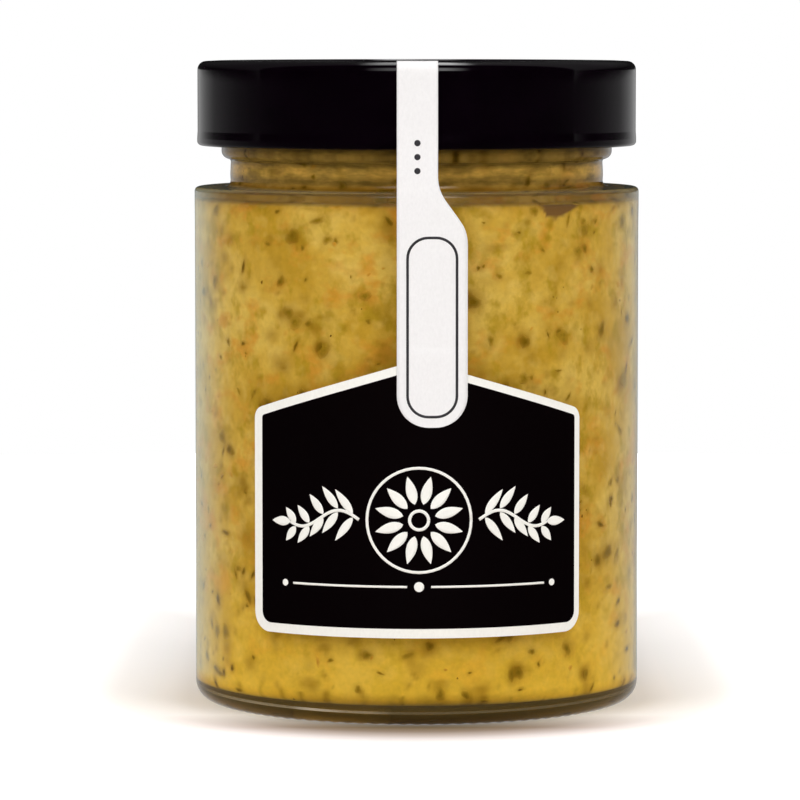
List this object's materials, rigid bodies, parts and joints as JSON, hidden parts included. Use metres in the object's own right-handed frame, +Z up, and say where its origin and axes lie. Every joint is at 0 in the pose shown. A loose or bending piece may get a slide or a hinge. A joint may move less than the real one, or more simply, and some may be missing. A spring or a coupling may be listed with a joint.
{
  "type": "jar of eggplant spread",
  "caption": "Closed straight-sided glass jar filled with a flecked yellow-brown spread, with a deep black lid, a house-shaped black label and a white paper seal strip over the lid.",
  "frame": {"origin": "centre of the base, on the surface that the jar stands on, on the jar's axis", "axes": "+Z up along the jar's axis, -Y towards the label and the front, +X to the right as seen from the front"},
  "size_m": [0.0732, 0.0736, 0.1056],
  "materials": {
    "glass": "clear flint glass with a faint green tint",
    "spread": null,
    "lid_lacquer": "gloss black lacquer on sheet steel",
    "label_paper": "coated paper, printed black with a white border",
    "seal_paper": "white coated paper"
  },
  "bodies": {
    "root": {"jar": "glass", "spread": "spread", "lid": "lid_lacquer", "label": "label_paper", "seal_strip": "seal_paper"}
  },
  "joints": []
}
